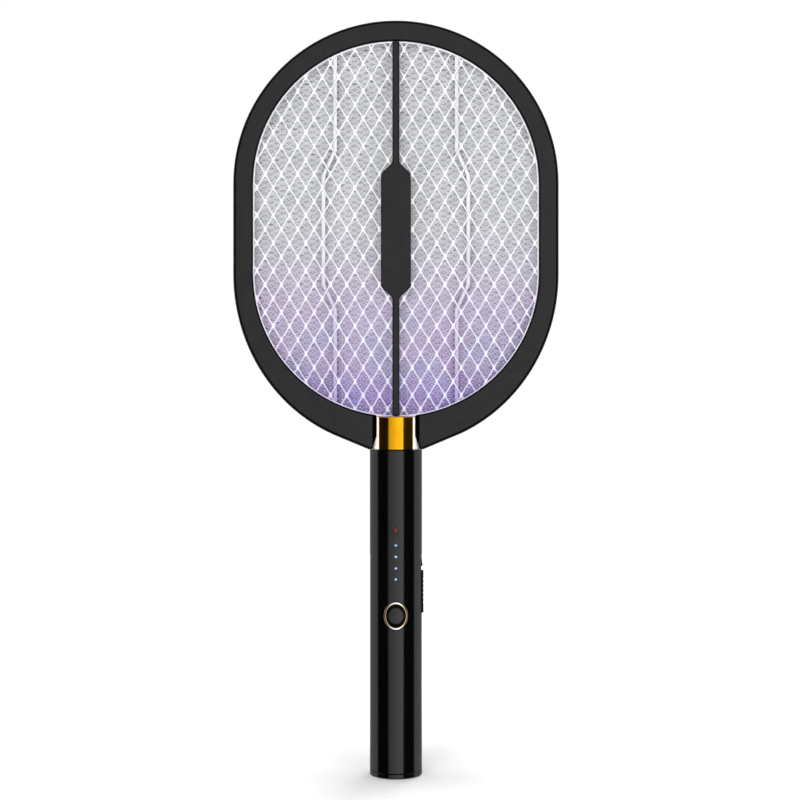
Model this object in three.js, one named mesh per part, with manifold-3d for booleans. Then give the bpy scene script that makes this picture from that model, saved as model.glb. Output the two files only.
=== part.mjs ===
// Electric fly swatter, standing on the flat end of its handle.
// Millimetres. +Z runs up its length, -Y is the front with the push button, +X has the side switch.
// The origin is the centre of the handle's flat end.
import * as THREE from 'three';
import { mergeVertices } from 'three/addons/utils/BufferGeometryUtils.js';
import Module from 'manifold-3d';

const wasm = await Module();
wasm.setup();

// ---- Driving dimensions ----
const GAP = 0.3; // clearance between neighbouring pieces

// Handle, a round tube with an end cap
const TUBE_R = 16.65;
const BORE_R = 14.65;
const CAP_THICKNESS = 3;
const TUBE_TOP = 207.4;

// Gilt collar between the handle and the head
const COLLAR_R = 15.6;
const COLLAR_BORE_R = 14.1;
const COLLAR_LOW = TUBE_TOP + GAP;
const COLLAR_TOP = 228.5;
const COLLAR_BAND = 1.6; // closed band below the side slots
const BRIDGE_HALF = 4.7; // half the depth of the web that passes through a side slot

// Head: an opening with round ends inside a deeper rim
const OPENING_R = 90.7;
const OPENING_TOP = 376.3; // centre of the opening's upper arc
const OPENING_LOW = 319.5; // centre of its lower arc
const RIM_R = 103.4;
const RIM_TOP = 376.9;
const RIM_LOW = 319.2;
const RIM_LOW_R = 110.5; // the rim's lower end follows half an ellipse, this far down
const CHIN_HALF = 17; // the rim's flat foot, at the collar's lower end
const CHIN_JOIN = 37.6; // where the straight chin leaves the ellipse
const HEAD_HALF = 10; // half the head's depth
const RIM_EDGE = 1.2; // chamfer along the rim's edges
const SPLIT = 0.15; // half the gap between the front and rear shells
const WALL = 2; // wall of the shells
const SEAT = 3.3; // width of the ledge that the nets and spacers sit on

// Layers inside the head, as distances from its middle plane
const NET_OUT = 7.7;
const NET_IN = 6.5;
const SPACER_OUT = 6.2;
const SPACER_IN = 0.9;
const GRID_HALF = 0.6;
const LAYER_EDGE = SEAT - GAP; // how far a layer reaches onto the ledge

// Diamond lattice of the nets, at two and a half times the real pitch
const NET_PITCH_X = 26;
const NET_PITCH_Z = 44.25;
const NET_STRAND = 1.6;
const GRID_PITCH_X = 44;
const GRID_PITCH_Z = 31;

// Centre bar with its eight-sided plate
const BAR_HALF = 2.25;
const PLATE_HALF = 9.5;
const PLATE_LOW = 304;
const PLATE_TOP = 390;
const PLATE_CORNER = 7.3;
const BAR_OUT = HEAD_HALF - 0.1;
const BAR_IN = NET_OUT + GAP;

// Push button and the stack below it
const BUTTON_Z = 103;
const BUTTON_HALF_X = 6;
const BUTTON_HALF_Z = 7.3;
const BUTTON_TRAVEL = 0.6;
const BUTTON_CROWN_R = 17.35;
const TRIM_WIDTH = 1.25;
const TRIM_CROWN_R = 17.05;

// Side switch
const SLIDER_LOW = 103.4;
const SLIDER_TOP = 130.3;
const SLIDER_TRAVEL = 2.4;
const TRACK_LOW = 102.9;
const TRACK_TOP = 137.9;
const TRACK_HALF = 3.9;

// Lights on the front of the handle
const POWER_LIGHT_Z = 157.3;
const LEVEL_LIGHTS_Z = [126.1, 133, 140.3, 147.5];

// Inside the handle
const BOARD_FRONT = -8.2;
const BOARD_BACK = -6.6;
const BOARD_LOW = 20.8;
const BOARD_TOP = 170;
const CELL_R = 9.2;
const CELL_Y = 3.2;
const CELL_LOW = 22.3;
const CELL_TOP = 87.3;
const CHASSIS_R = 14.2;
const CHASSIS_BORE_R = 12.85;

// Neck: the shells' stubs inside the collar and the tube
const STUB_LOW = 175;
const STUB_R = 14.3;
const STUB_NECK_R = 13.7;
const STUB_TOP = 228.2;
const CHANNEL_R = 8.2;
const NECK_SCREWS_Z = [183, 197];

const ARC_STEPS = 12; // each arc of an outline gets twice as many facets
const ROUND_STEPS = 36; // facets round the handle
const FAR = 300; // longer than any piece is from its middle
const DEEP = 30; // farther front or back than any piece

// ---- Materials ----
const finish = (color, roughness, metalness = 0) =>
  new THREE.MeshStandardMaterial({ color, roughness, metalness });
const CHARCOAL = finish(0x38383a, 0.5);
const GLOSS_BLACK = finish(0x0b0b0d, 0.15);
const GILT = finish(0xd9a233, 0.2, 1);
const NET_STEEL = finish(0xd9dadf, 0.35, 0.9);
const CLEAR_WHITE = finish(0xf0f1f6, 0.4);
const STEEL = finish(0xa8abb0, 0.35, 1);
const BOARD_GREEN = finish(0x1d5a38, 0.6);
const COMPONENT_BLACK = finish(0x17181a, 0.5);
const INNER_PLASTIC = finish(0x3c4046, 0.6);
const FERRITE = finish(0x2b2c2f, 0.75);
const COPPER = finish(0xb0602c, 0.4, 0.6);
const FILM_RED = finish(0xb3452a, 0.45);
const CELL_WRAP = finish(0x2f6fb0, 0.4);
const NICKEL = finish(0xc9cac4, 0.35, 1);
const VIOLET_LENS = finish(0x8f7de0, 0.15);
const RED_LENS = finish(0xe01f24, 0.2);
const ICE_LENS = finish(0xe9f2ff, 0.2);
const WIRE_RED = finish(0xc22a25, 0.5);
const WIRE_BLACK = finish(0x1a1a1c, 0.5);
const WIRE_WHITE = finish(0xe6e6e2, 0.5);
const RESISTOR_TAN = finish(0xcbb183, 0.6);

// ---- Shapes as geometry ----
function block([x0, x1], [y0, y1], [z0, z1]) {
  const shape = new THREE.BoxGeometry(x1 - x0, y1 - y0, z1 - z0);
  return shape.translate((x0 + x1) / 2, (y0 + y1) / 2, (z0 + z1) / 2);
}

function rodZ(r, z0, z1, x = 0, y = 0, steps = ROUND_STEPS) {
  const rod = new THREE.CylinderGeometry(r, r, z1 - z0, steps);
  return rod.rotateX(Math.PI / 2).translate(x, y, (z0 + z1) / 2);
}

function rodY(r, y0, y1, x, z, steps = 12) {
  const rod = new THREE.CylinderGeometry(r, r, y1 - y0, steps);
  return rod.translate(x, (y0 + y1) / 2, z);
}

function rodX(r, x0, x1, y, z, steps = 12) {
  const rod = new THREE.CylinderGeometry(r, r, x1 - x0, steps);
  return rod.rotateZ(Math.PI / 2).translate((x0 + x1) / 2, y, z);
}

// An outline in X and Z, given depth from y0 to y1, with both edges chamfered
function slab(outline, y0, y1, edge = 0) {
  const shape = new THREE.ExtrudeGeometry(outline, {
    depth: y1 - y0 - 2 * edge,
    bevelEnabled: edge > 0,
    bevelThickness: edge,
    bevelSize: edge,
    bevelOffset: -edge,
    bevelSegments: 1,
    curveSegments: ARC_STEPS,
  });
  return shape.rotateX(Math.PI / 2).translate(0, y1 - edge, 0);
}

// An outline in X and Y, given height from z0 to z1
function column(outline, z0, z1) {
  const options = { depth: z1 - z0, bevelEnabled: false, curveSegments: 4 };
  return new THREE.ExtrudeGeometry(outline, options).translate(0, 0, z0);
}

function polygon(points) {
  return new THREE.Shape(points.map(([x, y]) => new THREE.Vector2(x, y)));
}

function ellipse(halfX, halfZ, z) {
  return new THREE.Shape().absellipse(0, z, halfX, halfZ, 0, 2 * Math.PI, false, 0);
}

function wire(points, r) {
  const route = new THREE.CatmullRomCurve3(points.map((p) => new THREE.Vector3(...p)));
  const section = new THREE.Shape().absarc(0, 0, r, 0, 2 * Math.PI, false);
  const options = { steps: 12, curveSegments: 4, bevelEnabled: false, extrudePath: route };
  return new THREE.ExtrudeGeometry(section, options);
}

// ---- Joining and cutting ----
function solid(geometry) {
  const bare = geometry.clone();
  bare.deleteAttribute('normal');
  bare.deleteAttribute('uv');
  const merged = mergeVertices(bare, 1e-4);
  const corners = merged.index.array;
  const kept = [];
  for (let i = 0; i < corners.length; i += 3) {
    const [a, b, c] = corners.slice(i, i + 3);
    if (a !== b && b !== c && c !== a) kept.push(a, b, c);
  }
  return new wasm.Manifold(new wasm.Mesh({
    numProp: 3,
    vertProperties: new Float32Array(merged.attributes.position.array),
    triVerts: new Uint32Array(kept),
  }));
}

function surface(body) {
  const mesh = body.getMesh();
  const geometry = new THREE.BufferGeometry();
  geometry.setAttribute('position', new THREE.BufferAttribute(mesh.vertProperties, 3));
  geometry.setIndex(new THREE.BufferAttribute(mesh.triVerts, 1));
  geometry.computeVertexNormals();
  return geometry;
}

const joined = (...shapes) => shapes.map(solid).reduce((a, b) => a.add(b));
const without = (body, ...shapes) => shapes.map(solid).reduce((a, b) => a.subtract(b), body);
const within = (body, shape) => body.intersect(solid(shape));

const swatter = new THREE.Group();

function addPiece(name, shape, material) {
  const geometry = shape.isBufferGeometry ? shape : surface(shape);
  const mesh = new THREE.Mesh(geometry, material);
  mesh.name = name;
  swatter.add(mesh);
  return mesh;
}

// ---- Outlines of the head ----
function openingOutline(offset) {
  const r = OPENING_R + offset;
  const outline = new THREE.Shape().absarc(0, OPENING_TOP, r, 0, Math.PI, false);
  return outline.absarc(0, OPENING_LOW, r, Math.PI, 2 * Math.PI, false);
}

function rimOutline(inset) {
  const r = RIM_R - inset;
  const low = RIM_LOW_R - inset;
  const down = 1.5 * Math.PI;
  const turn = Math.asin(CHIN_JOIN / RIM_R);
  const outline = new THREE.Shape().absarc(0, RIM_TOP, r, 0, Math.PI, false);
  outline.absellipse(0, RIM_LOW, r, low, Math.PI, down - turn, false, 0);
  outline.lineTo(-CHIN_HALF, COLLAR_LOW + inset);
  outline.lineTo(CHIN_HALF, COLLAR_LOW + inset);
  return outline.absellipse(0, RIM_LOW, r, low, down + turn, 2 * Math.PI, false, 0);
}

function bandOutline(outer, inner) {
  outer.holes.push(inner);
  return outer;
}

// Where the six screws stand, in the middle of the hollow rim
const SCREW_OFFSET = 7.9;
const SCREW_ANGLES = [40, 140, 220, 320];
const SCREW_SPOTS = [
  ...SCREW_ANGLES.map((degrees) => {
    const turn = THREE.MathUtils.degToRad(degrees);
    const r = OPENING_R + SCREW_OFFSET;
    const centre = degrees < 180 ? OPENING_TOP : OPENING_LOW;
    return [r * Math.cos(turn), centre + r * Math.sin(turn)];
  }),
  [OPENING_R + SCREW_OFFSET, (OPENING_TOP + OPENING_LOW) / 2],
  [-OPENING_R - SCREW_OFFSET, (OPENING_TOP + OPENING_LOW) / 2],
];

// ---- Lamps in the foot of the rim ----
// A lamp holder's own frame: X along the rim, Z towards the opening's lower centre.
const LAMP_TURN = THREE.MathUtils.degToRad(17.5);
const LAMP_SIDES = [['left', -1], ['right', 1]];
const LED_SPACING = 12;
const LED_R = 2.5;
const LED_TIP = -94.4;
const LED_BASE = -102;
const LAMP_BOARD = { halfX: 11, halfY: 3.7, top: -102.3, low: -103.5 };

function toLampFrame(geometry, side) {
  return geometry.rotateY(-side * LAMP_TURN).translate(0, 0, OPENING_LOW);
}

function lampPocket(side) {
  return toLampFrame(block([-11.6, 11.6], [-4.3, 4.3], [-104.2, -93]), side);
}

// ---- Shells of the head ----
// The front shell; turned half a turn about Z it is also the rear shell.
function ringShell() {
  const band = slab(bandOutline(rimOutline(0), openingOutline(0)), -HEAD_HALF, HEAD_HALF, RIM_EDGE);
  const frontHalf = block([-FAR, FAR], [-FAR, -SPLIT], [0, 2 * FAR]);
  const lipBack = -HEAD_HALF + WALL;

  // The wings stop short of the collar, with a shallow bevel and a cut lower corner.
  const bevel = [[15.4, -HEAD_HALF - 0.01], [11.5, -9.04], [11.5, -11], [15.4, -11]];
  const corner = [[12, 217.1], [15.7, 207], [12, 206]];
  const mirrored = (points) => points.map(([a, b]) => [-a, b]);
  let shell = without(
    solid(band).intersect(solid(frontHalf)),
    rodZ(COLLAR_R + GAP, 200, 240),
    column(polygon(bevel), 205, 235),
    column(polygon(mirrored(bevel)), 205, 235),
    slab(polygon(corner), -HEAD_HALF - 1, 1),
    slab(polygon(mirrored(corner)), -HEAD_HALF - 1, 1),
  );

  // Hollow rim, left solid at the neck and round the screws
  const hollowOutline = bandOutline(rimOutline(WALL), openingOutline(SEAT + WALL));
  const bosses = SCREW_SPOTS.map(([x, z]) => rodY(3.3, -DEEP, 3, x, z));
  const hollow = without(
    solid(slab(hollowOutline, lipBack, 1)),
    block([-21, 21], [-20, 5], [200, 240]),
    ...bosses,
  );

  // The stub that runs down through the collar into the tube
  const web = within(
    solid(block([-21, 21], [-BRIDGE_HALF, 0], [COLLAR_LOW + COLLAR_BAND + GAP, STUB_TOP])),
    slab(rimOutline(0), -HEAD_HALF, 1),
  );
  const stub = joined(
    rodZ(STUB_R, STUB_LOW, TUBE_TOP - GAP),
    rodZ(STUB_NECK_R, TUBE_TOP - 2, STUB_TOP),
  );
  const neck = within(stub.add(web), frontHalf);
  shell = shell.subtract(hollow).add(neck);

  const leadSlot = block([-24, 24], [-1.2, 1.2], [214.2, 217.6]);
  return without(
    shell,
    rodZ(CHANNEL_R, STUB_LOW - 1, STUB_TOP + 1),
    slab(openingOutline(SEAT), lipBack, 1),
    lampPocket(1),
    lampPocket(-1),
    leadSlot,
  );
}

const SCREW_R = 1.25;
const SCREW_HEAD_R = 2.5;
const SCREW_HOLE_R = SCREW_R + GAP;
const SCREW_HEAD_TOP = HEAD_HALF - 0.5;
const SCREW_HEAD_LOW = SCREW_HEAD_TOP - 1.4;

function addRingShells() {
  const shell = ringShell();
  const pilots = SCREW_SPOTS.map(([x, z]) => rodY(SCREW_HOLE_R, -6, 1, x, z));
  addPiece('front_ring_shell', without(shell, ...pilots), CHARCOAL);

  const back = solid(surface(shell).rotateZ(Math.PI));
  const sinks = SCREW_SPOTS.flatMap(([x, z]) => [
    rodY(SCREW_HOLE_R, 0, HEAD_HALF + 1, x, z),
    rodY(SCREW_HEAD_R + GAP, SCREW_HEAD_LOW - GAP, HEAD_HALF + 1, x, z),
  ]);
  const pilotLow = CHANNEL_R - 1;
  const neckHoles = NECK_SCREWS_Z.map((z) => rodY(SCREW_HOLE_R, pilotLow, STUB_R + 1, 0, z));
  addPiece('rear_ring_shell', without(back, ...sinks, ...neckHoles), CHARCOAL);
}

function screwY(x, z, tip, headLow, headTop) {
  const body = joined(
    rodY(SCREW_R, tip, headTop - 0.4, x, z),
    rodY(SCREW_HEAD_R, headLow, headTop, x, z),
  );
  const cross = [
    block([x - 1.4, x + 1.4], [headTop - 0.7, headTop + 1], [z - 0.3, z + 0.3]),
    block([x - 0.3, x + 0.3], [headTop - 0.7, headTop + 1], [z - 1.4, z + 1.4]),
  ];
  return without(body, ...cross);
}

function addRingScrews() {
  SCREW_SPOTS.forEach(([x, z], i) => {
    const screw = screwY(x, z, -5, SCREW_HEAD_LOW, SCREW_HEAD_TOP);
    addPiece(`ring_screw_${i + 1}`, screw, STEEL);
  });
}

// ---- Nets ----
// The diamond holes between crossed strands, kept to those that meet the opening
function diamonds(pitchX, pitchZ, strand) {
  const a = pitchX / 2;
  const b = pitchZ / 2;
  const edge = Math.hypot(a, b);
  const halfX = a - (strand / 2) * (edge / b);
  const halfZ = b - (strand / 2) * (edge / a);
  const holes = [];
  const rows = Math.ceil(130 / b);
  const columns = Math.ceil(OPENING_R / pitchX) + 1;
  const middle = (OPENING_TOP + OPENING_LOW) / 2;
  for (let row = -rows; row <= rows; row += 1) {
    for (let i = -columns; i <= columns; i += 1) {
      const x = (i + (row % 2 === 0 ? 0.5 : 0)) * pitchX;
      const z = middle + row * b;
      const nearest = Math.min(Math.max(z, OPENING_LOW), OPENING_TOP);
      if (Math.hypot(x, z - nearest) < OPENING_R + 0.8 * a) {
        holes.push(polygon([[x + halfX, z], [x, z + halfZ], [x - halfX, z], [x, z - halfZ]]));
      }
    }
  }
  return holes;
}

// The layers stop above the collar, where a net keeps a narrow border.
function footCut(border = 0) {
  const half = COLLAR_R + 2 + border;
  return block([-half, half], [-DEEP, DEEP], [200, COLLAR_TOP + GAP + border]);
}

function lattice(pitchX, pitchZ, strand, y0, y1) {
  const holes = solid(slab(diamonds(pitchX, pitchZ, strand), y0 - 1, y1 + 1));
  const clipped = within(holes, slab(openingOutline(0.4), y0 - 2, y1 + 2));
  const layer = without(solid(slab(openingOutline(LAYER_EDGE), y0, y1)), footCut());
  return layer.subtract(without(clipped, footCut(1.2)));
}

function addNets() {
  const net = [NET_PITCH_X, NET_PITCH_Z, NET_STRAND];
  addPiece('front_net', lattice(...net, -NET_OUT, -NET_IN), NET_STEEL);
  addPiece('rear_net', lattice(...net, NET_IN, NET_OUT), NET_STEEL);
  const grid = [GRID_PITCH_X, GRID_PITCH_Z, NET_STRAND];
  addPiece('inner_grid', lattice(...grid, -GRID_HALF, GRID_HALF), NET_STEEL);
}

// Insulating frames that hold the nets apart, each with two cranked ribs
const RIB_HALF = 1.2;
const RIB_SPOTS = [[38.7, 200], [38.7, 297], [46.1, 313], [46.1, 382], [38.7, 398], [38.7, 480]];

function ribOutline(side) {
  const outer = RIB_SPOTS.map(([x, z]) => [side * (x + RIB_HALF), z]);
  const inner = RIB_SPOTS.map(([x, z]) => [side * (x - RIB_HALF), z]).reverse();
  return polygon([...outer, ...inner]);
}

function spacerFrame(y0, y1) {
  const ring = slab(bandOutline(openingOutline(LAYER_EDGE), openingOutline(0.8)), y0, y1);
  const ribs = joined(slab(ribOutline(1), y0, y1), slab(ribOutline(-1), y0, y1));
  const frame = solid(ring).add(within(ribs, slab(openingOutline(2), y0 - 1, y1 + 1)));
  return without(frame, footCut());
}

function addSpacers() {
  addPiece('front_spacer_frame', spacerFrame(-SPACER_OUT, -SPACER_IN), CLEAR_WHITE);
  addPiece('rear_spacer_frame', spacerFrame(SPACER_IN, SPACER_OUT), CLEAR_WHITE);
}

function barOutline() {
  const low = OPENING_LOW - OPENING_R + GAP;
  const top = OPENING_TOP + OPENING_R - GAP;
  const right = [
    [BAR_HALF, low],
    [BAR_HALF, PLATE_LOW],
    [PLATE_HALF, PLATE_LOW + PLATE_CORNER],
    [PLATE_HALF, PLATE_TOP - PLATE_CORNER],
    [BAR_HALF, PLATE_TOP],
    [BAR_HALF, top],
  ];
  return polygon([...right, ...right.map(([x, z]) => [-x, z]).reverse()]);
}

function addBars() {
  addPiece('front_centre_bar', slab(barOutline(), -BAR_OUT, -BAR_IN, 0.5), CHARCOAL);
  addPiece('rear_centre_bar', slab(barOutline(), BAR_IN, BAR_OUT, 0.5), CHARCOAL);
}

function addLamps() {
  let number = 0;
  for (const [word, side] of LAMP_SIDES) {
    const { halfX, halfY, top, low } = LAMP_BOARD;
    const board = block([-halfX, halfX], [-halfY, halfY], [low, top]);
    addPiece(`lamp_board_${word}`, toLampFrame(board, side), BOARD_GREEN);
    for (const x of [-LED_SPACING / 2, LED_SPACING / 2]) {
      number += 1;
      const domeZ = LED_TIP - LED_R;
      const led = joined(
        rodZ(LED_R, LED_BASE, domeZ, x, 0, 12),
        new THREE.SphereGeometry(LED_R, 12, 6).rotateX(Math.PI / 2).translate(x, 0, domeZ),
        rodZ(LED_R + 0.4, LED_BASE, LED_BASE + 1, x, 0, 12),
      );
      addPiece(`uv_led_${number}`, toLampFrame(surface(led), side), VIOLET_LENS);
    }
  }
}

// ---- Neck ----
function addCollar() {
  const slotLow = COLLAR_LOW + COLLAR_BAND;
  const collar = without(
    solid(rodZ(COLLAR_R, COLLAR_LOW, COLLAR_TOP)),
    rodZ(COLLAR_BORE_R, COLLAR_LOW - 1, COLLAR_TOP + 1),
    block([-20, 20], [-BRIDGE_HALF - GAP, BRIDGE_HALF + GAP], [slotLow, COLLAR_TOP + 1]),
  );
  addPiece('neck_collar', collar, GILT);
}

function addNeckScrews() {
  NECK_SCREWS_Z.forEach((z, i) => {
    const screw = screwY(0, z, CHANNEL_R + 0.5, TUBE_R - 1.5, TUBE_R - 0.2);
    addPiece(`neck_screw_${i + 1}`, screw, STEEL);
  });
}

// Leads from the head's nets and lamps down to the board
function addLeads() {
  const down = STUB_LOW - 2;
  const end = BOARD_BACK + GAP + 0.6;
  const netTop = COLLAR_TOP - 0.1;
  const netY = NET_IN + 0.1;
  const lead = (name, x, y, endX, endZ, material) => {
    const route = [
      [x, y, netTop],
      [x, y, 212],
      [x, 0.6 * y, 196],
      [x, 0.2 * y - 1, 184],
      [x, end + 2, down],
      [endX, end, endZ],
    ];
    addPiece(name, wire(route, 0.6), material);
  };
  lead('front_net_lead', -2.2, -netY, -3, BOARD_TOP - 4, WIRE_BLACK);
  lead('inner_grid_lead', 0, 0, 0, BOARD_TOP - 6, WIRE_RED);
  lead('rear_net_lead', 2.2, netY, 3, BOARD_TOP - 4, WIRE_BLACK);
  for (const [word, side] of LAMP_SIDES) {
    const route = [
      [side * 20.8, 0, 216],
      [side * 14, 0, 216],
      [side * 8.6, 0, 216],
      [side * 5.8, 0, 212.5],
      [side * 5.6, 0, 204],
      [side * 5.6, 0, 190],
      [side * 5.6, -1, down],
      [side * 6.5, end + 0.4, BOARD_TOP - 6],
    ];
    addPiece(`lamp_lead_${word}`, wire(route, 0.6), WIRE_WHITE);
  }
}

// ---- Handle casing ----
function addTube() {
  const low = CAP_THICKNESS + GAP;
  const sinks = NECK_SCREWS_Z.flatMap((z) => [
    rodY(SCREW_HOLE_R, 0, TUBE_R + 1, 0, z),
    rodY(SCREW_HEAD_R + GAP, TUBE_R - 1.5 - GAP, TUBE_R + 1, 0, z),
  ]);
  const around = TRIM_WIDTH + 2 * GAP;
  const trimHole = ellipse(BUTTON_HALF_X + around, BUTTON_HALF_Z + around, BUTTON_Z);
  const trackY = [-TRACK_HALF - GAP, TRACK_HALF + GAP];
  const lightHoles = LEVEL_LIGHTS_Z.map((z) => rodY(0.75 + GAP, -TUBE_R - 1, 0, 0, z));
  const tube = without(
    solid(rodZ(TUBE_R, low, TUBE_TOP)),
    rodZ(BORE_R, low - 1, TUBE_TOP + 1),
    slab(trimHole, -TUBE_R - 1, 0),
    block([-1.8, 1.8], [-TUBE_R - 1, 0], [POWER_LIGHT_Z - 2.7, POWER_LIGHT_Z + 2.7]),
    block([0, TUBE_R + 1], trackY, [TRACK_LOW - GAP, TRACK_TOP + GAP]),
    ...lightHoles,
    ...sinks,
  );
  addPiece('handle_tube', tube, GLOSS_BLACK);
}

const USB_Y = 5;
const CAP_SCREW_Y = -6;

function racetrack(halfX, halfY, y) {
  const reach = halfX - halfY;
  const outline = new THREE.Shape().absarc(reach, y, halfY, -Math.PI / 2, Math.PI / 2, false);
  return outline.absarc(-reach, y, halfY, Math.PI / 2, 1.5 * Math.PI, false);
}

function addEndCap() {
  const edge = 0.8;
  const profile = [
    [0, 0],
    [TUBE_R - edge, 0],
    [TUBE_R, edge],
    [TUBE_R, CAP_THICKNESS],
    [STUB_R, CAP_THICKNESS],
    [STUB_R, 11],
    [12.3, 11],
    [12.3, CAP_THICKNESS],
    [0, CAP_THICKNESS],
  ].map(([r, z]) => new THREE.Vector2(r, z));
  const cap = without(
    solid(new THREE.LatheGeometry(profile, ROUND_STEPS).rotateX(Math.PI / 2)),
    column(racetrack(4.45 + GAP, 1.6 + GAP, USB_Y), -1, CAP_THICKNESS + 1),
    rodZ(SCREW_HOLE_R, -1, CAP_THICKNESS + 1, 0, CAP_SCREW_Y, 12),
    rodZ(SCREW_HEAD_R + GAP, -1, 1.9, 0, CAP_SCREW_Y, 12),
  );
  addPiece('end_cap', cap, GLOSS_BLACK);

  const screw = without(
    joined(
      rodZ(SCREW_HEAD_R, 0.3, 1.6, 0, CAP_SCREW_Y, 12),
      rodZ(SCREW_R, 1, 15.5, 0, CAP_SCREW_Y, 12),
    ),
    block([-1.4, 1.4], [CAP_SCREW_Y - 0.3, CAP_SCREW_Y + 0.3], [0, 1]),
    block([-0.3, 0.3], [CAP_SCREW_Y - 1.4, CAP_SCREW_Y + 1.4], [0, 1]),
  );
  addPiece('end_cap_screw', screw, STEEL);
}

function addChargeSocket() {
  const shell = without(
    solid(column(racetrack(4.45, 1.6, USB_Y), 0.3, 7.3)),
    column(racetrack(4.1, 1.25, USB_Y), 0, 6.3),
  );
  const tongue = solid(block([-3.2, 3.2], [USB_Y - 0.35, USB_Y + 0.35], [1.2, 6.8]));
  addPiece('usb_socket', shell.add(tongue), STEEL);
  const boardY = USB_Y + 1.6 + GAP;
  const board = block([-7, 7], [boardY, boardY + 1.2], [CAP_THICKNESS + GAP, 12]);
  addPiece('charge_board', board, BOARD_GREEN);
}

// Lights on the front: a red lens, and four posts on one bar
function addLights() {
  const redZ = [POWER_LIGHT_Z - 2.4, POWER_LIGHT_Z + 2.4];
  const red = block([-1.5, 1.5], [-TUBE_R, BOARD_FRONT - 1.2], redZ);
  addPiece('power_light_lens', within(solid(red), rodZ(TUBE_R - 0.05, 100, 200)), RED_LENS);

  const [lowest] = LEVEL_LIGHTS_Z;
  const highest = LEVEL_LIGHTS_Z.at(-1);
  const bar = block([-1.6, 1.6], [-12.4, -10.9], [lowest - 2, highest + 2]);
  const posts = LEVEL_LIGHTS_Z.map((z) => rodY(0.75, -TUBE_R + 0.05, -11.5, 0, z));
  addPiece('level_light_guide', joined(bar, ...posts), ICE_LENS);
}

// ---- Push button ----
function crown(outline, r, back) {
  return within(solid(slab(outline, -DEEP, back)), rodZ(r, 60, 150));
}

function addButton() {
  const trimX = BUTTON_HALF_X + TRIM_WIDTH + GAP;
  const trimZ = BUTTON_HALF_Z + TRIM_WIDTH + GAP;
  const flangeBack = -11.4;
  const rim = crown(ellipse(trimX, trimZ, BUTTON_Z), TRIM_CROWN_R, flangeBack);
  const flange = crown(ellipse(trimX + 1.6, trimZ + 1.6, BUTTON_Z), BORE_R - GAP, flangeBack);
  const well = slab(ellipse(BUTTON_HALF_X + GAP, BUTTON_HALF_Z + GAP, BUTTON_Z), -30, 0);
  addPiece('button_trim_ring', without(rim.add(flange), well), GILT);

  const capBack = -10.2;
  const foot = ellipse(BUTTON_HALF_X + 1.2, BUTTON_HALF_Z + 1.3, BUTTON_Z);
  const hollow = ellipse(BUTTON_HALF_X - 1.2, BUTTON_HALF_Z - 1.2, BUTTON_Z);
  const body = crown(ellipse(BUTTON_HALF_X, BUTTON_HALF_Z, BUTTON_Z), BUTTON_CROWN_R, capBack);
  const shell = without(
    body.add(solid(slab(foot, flangeBack + GAP, capBack))),
    slab(hollow, -14.4, 0),
  );
  const postBack = -12.5;
  addPiece('button_cap', shell.add(solid(rodY(2.2, -14.8, postBack, 0, BUTTON_Z))), GLOSS_BLACK);

  // The cap's post stops a gap short of the switch's plunger.
  const caseFront = -11.4;
  const wellBack = -9.3;
  const plungerR = 1.7;
  const tact = without(
    solid(block([-3, 3], [caseFront, BOARD_FRONT - GAP], [BUTTON_Z - 3, BUTTON_Z + 3])),
    rodY(plungerR + GAP, caseFront - 1, wellBack, 0, BUTTON_Z),
  );
  addPiece('tact_switch_case', tact, COMPONENT_BLACK);
  const plungerBack = wellBack - GAP - BUTTON_TRAVEL;
  const plunger = rodY(plungerR, postBack + GAP, plungerBack, 0, BUTTON_Z);
  addPiece('tact_switch_plunger', plunger, WIRE_WHITE);
}

// ---- Side switch ----
function addSideSwitch() {
  const ramp = [[15.5, 133.3], [17.3, 133.3], [16.6, 137.6], [15.5, 137.6]];
  const stemLow = 114;
  const stemTop = 119;
  const track = within(
    solid(block([13.6, 17], [-TRACK_HALF, TRACK_HALF], [TRACK_LOW, TRACK_TOP])),
    rodZ(TUBE_R - 0.05, 90, 150),
  );
  const frame = without(
    track.add(solid(slab(polygon(ramp), -2.9, 2.9))),
    block([14.8, 20], [-3.2, 3.2], [SLIDER_LOW - GAP, SLIDER_TOP + SLIDER_TRAVEL + GAP]),
    block([10, 20], [-1.2, 1.2], [stemLow - GAP, stemTop + SLIDER_TRAVEL + GAP]),
  );
  addPiece('slider_track', frame, GLOSS_BLACK);

  const pad = within(
    solid(block([15.1, 20], [-2.9, 2.9], [SLIDER_LOW, SLIDER_TOP])),
    rodZ(TUBE_R + 1.15, 90, 150),
  );
  const ridges = [];
  for (let z = SLIDER_LOW + 6; z < SLIDER_TOP - 4; z += 3) {
    ridges.push(block([17.3, 20], [-4, 4], [z, z + 0.8]));
  }
  const stem = solid(block([13.3, 16], [-0.9, 0.9], [stemLow, stemTop]));
  addPiece('slider_pad', without(pad, ...ridges).add(stem), GLOSS_BLACK);

  const switchCase = without(
    solid(block([7.2, 11.8], [BOARD_BACK + GAP, 2.4], [109, 127])),
    block([9.2, 13], [-1.6, 1.6], [stemLow - 0.7, stemTop + SLIDER_TRAVEL + 0.7]),
  );
  addPiece('slide_switch_case', switchCase, STEEL);
  const actuator = block([9.6, 13], [-1.2, 1.2], [stemLow, stemTop]);
  addPiece('slide_switch_actuator', actuator, COMPONENT_BLACK);
}

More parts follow.
